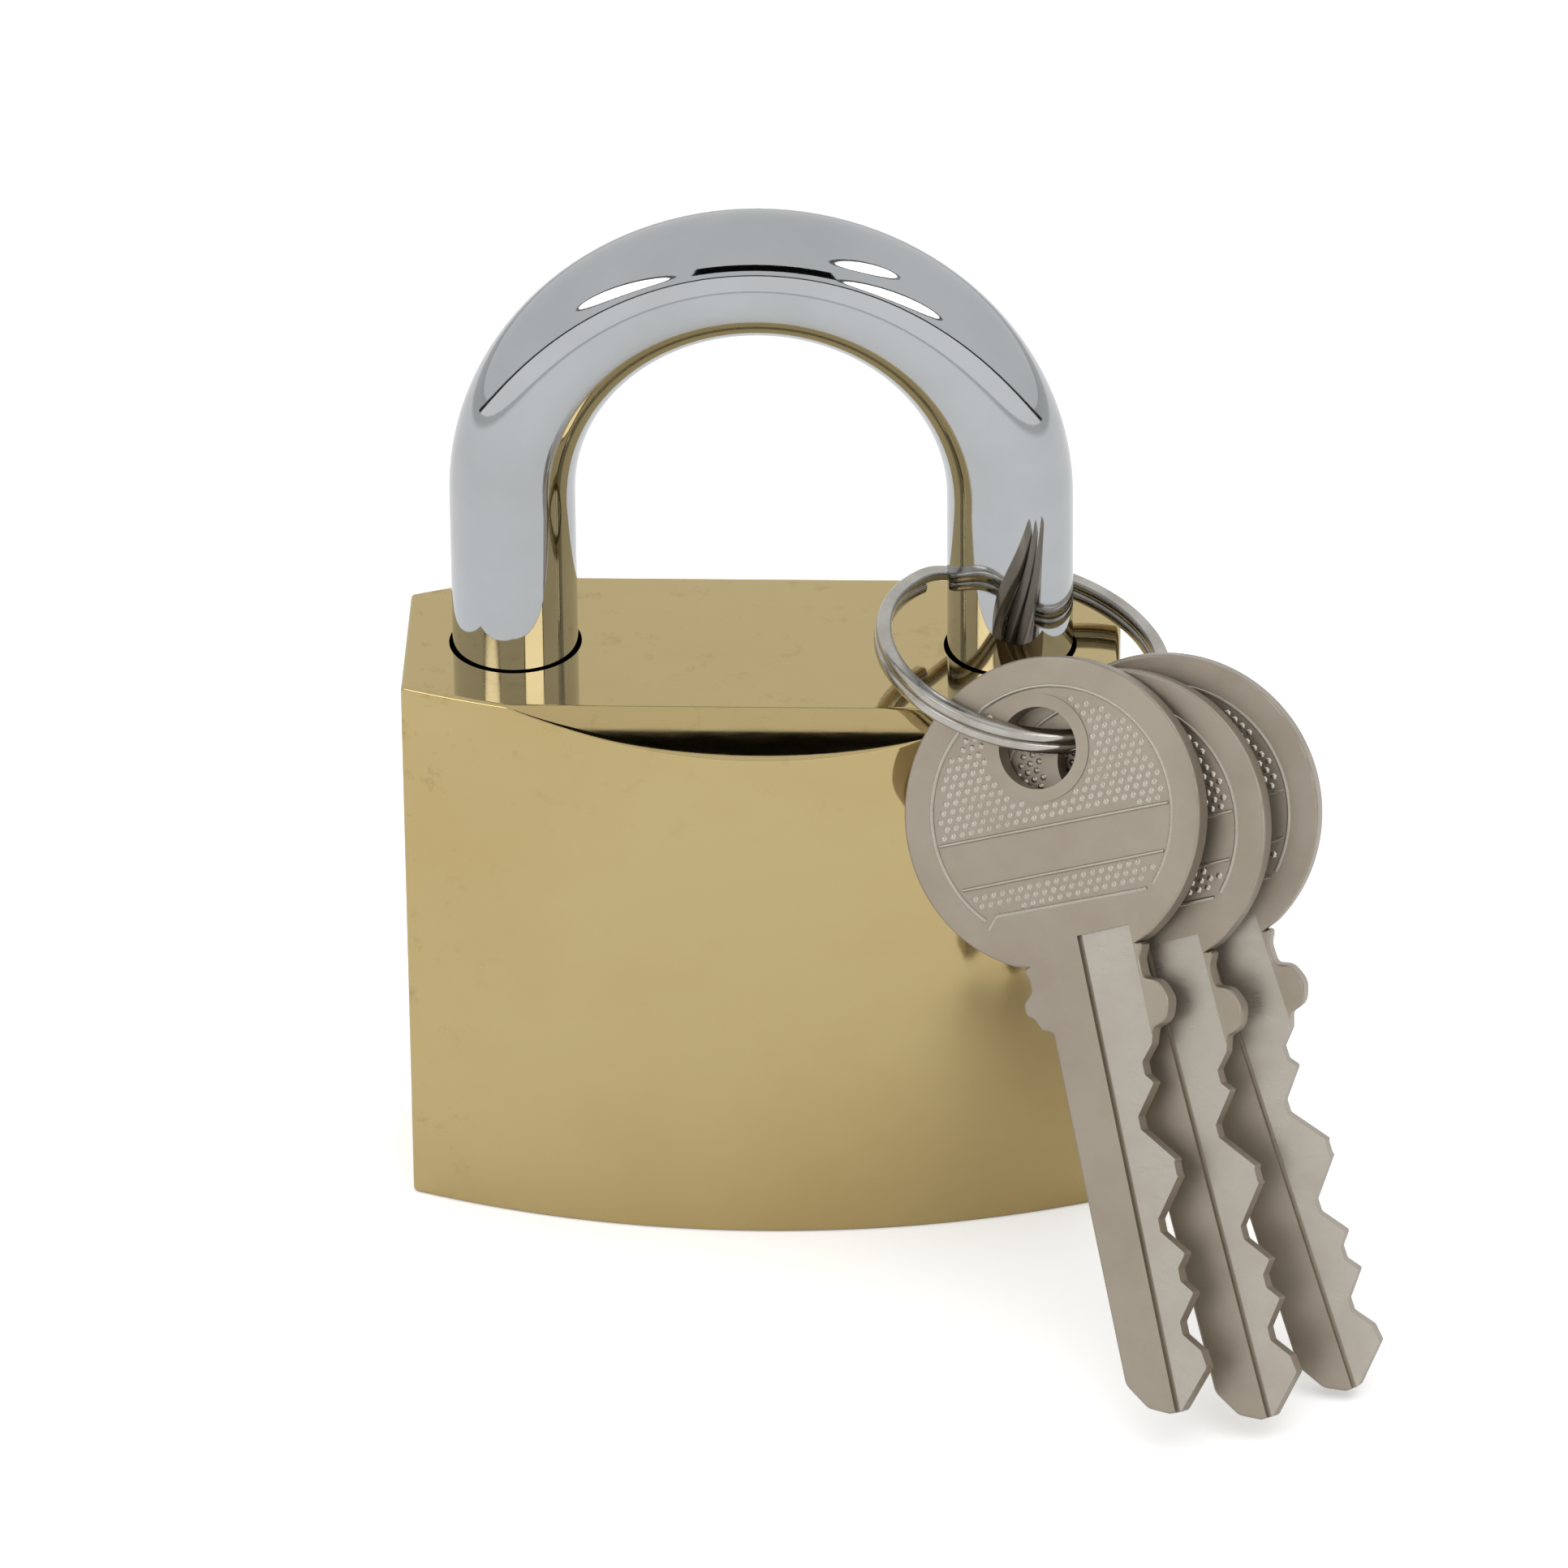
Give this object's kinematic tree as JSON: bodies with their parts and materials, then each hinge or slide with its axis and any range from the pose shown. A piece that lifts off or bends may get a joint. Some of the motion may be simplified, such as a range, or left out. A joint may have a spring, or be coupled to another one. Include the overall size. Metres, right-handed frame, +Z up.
{
  "type": "padlock",
  "caption": "Polished brass padlock with a chromed steel shackle, a pin-tumbler plug with two sliding latches, and flat keys on a split ring.",
  "frame": {"origin": "centre of the body's underside", "axes": "+Z up along the shackle's legs, front face towards -Y, toe of the shackle towards +X"},
  "size_m": [0.0687, 0.0523, 0.075],
  "materials": {
    "body_brass": "polished, lightly tarnished",
    "shackle_chrome": "bright chrome plating",
    "plug_brass": "turned",
    "inner_steel": "machined",
    "spring_steel": "drawn wire",
    "filler_brass": "pressed in and polished flush",
    "ring_nickel": "bright nickel plating",
    "key_nickel": "satin nickel plating"
  },
  "bodies": {
    "lock": {"lock_body": "body_brass", "heel_retaining_pin": "filler_brass", "plug_retaining_pin": "filler_brass", "latch_bore_plug": "filler_brass", "shackle_spring": "spring_steel", "driver_pin_1": "inner_steel", "driver_pin_2": "inner_steel", "driver_pin_3": "inner_steel", "driver_pin_4": "inner_steel", "driver_pin_5": "inner_steel", "driver_pin_6": "inner_steel", "pin_spring_1": "spring_steel", "pin_spring_2": "spring_steel", "pin_spring_3": "spring_steel", "pin_spring_4": "spring_steel", "pin_spring_5": "spring_steel", "pin_spring_6": "spring_steel", "chamber_plug_1": "filler_brass", "chamber_plug_2": "filler_brass", "chamber_plug_3": "filler_brass", "chamber_plug_4": "filler_brass", "chamber_plug_5": "filler_brass", "chamber_plug_6": "filler_brass"},
    "shackle": {"shackle": "shackle_chrome"},
    "plug": {"plug": "plug_brass", "cam": "inner_steel", "key_pin_1": "plug_brass", "key_pin_2": "plug_brass", "key_pin_3": "plug_brass", "key_pin_4": "plug_brass", "key_pin_5": "plug_brass", "key_pin_6": "plug_brass"},
    "toe_latch": {"toe_latch": "inner_steel"},
    "heel_latch": {"heel_latch": "inner_steel"},
    "split_ring": {"split_ring": "ring_nickel"},
    "key_1": {"key_1": "key_nickel"},
    "key_2": {"key_2": "key_nickel"},
    "key_3": {"key_3": "key_nickel"}
  },
  "joints": [
    {"name": "plug_turn", "type": "hinge", "parent": "lock", "child": "plug", "pos_m": [0, 0, 0], "axis": [0, 0, 1], "range_deg": [0, 90]},
    {"name": "toe_latch_slide", "type": "slide", "parent": "lock", "child": "toe_latch", "axis": [1, 0, 0], "range_m": [0, 0.0018]},
    {"name": "heel_latch_slide", "type": "slide", "parent": "lock", "child": "heel_latch", "axis": [-1, 0, 0], "range_m": [0, 0.0018]},
    {"name": "shackle_lift", "type": "slide", "parent": "lock", "child": "shackle", "axis": [0, 0, 1], "range_m": [0, 0.0105], "deforming": ["shackle_spring"]},
    {"name": "ring_swing", "type": "hinge", "parent": "lock", "child": "split_ring", "pos_m": [0.0173, 0.0049, 0.0427], "axis": [-1, 0, 0], "range_deg": [0, 30]},
    {"name": "key_1_swing", "type": "hinge", "parent": "split_ring", "child": "key_1", "pos_m": [0.01986, -0.01421, 0.04174], "axis": [-0.9659, -0.185, 0.181], "range_deg": [0, 15]},
    {"name": "key_2_swing", "type": "hinge", "parent": "split_ring", "child": "key_2", "pos_m": [0.02337, -0.01279, 0.04115], "axis": [-0.8319, -0.5422, 0.1179], "range_deg": [0, 17.25]},
    {"name": "key_3_swing", "type": "hinge", "parent": "split_ring", "child": "key_3", "pos_m": [0.02576, -0.01061, 0.04088], "axis": [-0.6196, -0.7833, 0.0499], "range_deg": [0, 18.75]}
  ],
  "couplings": [
    {"joint": "toe_latch_slide", "follows": "plug_turn", "m_per_rad": 0.0011459},
    {"joint": "heel_latch_slide", "follows": "plug_turn", "m_per_rad": 0.0011459},
    {"joint": "key_2_swing", "follows": "key_1_swing", "ratio": 1.15},
    {"joint": "key_3_swing", "follows": "key_1_swing", "ratio": 1.25}
  ]
}
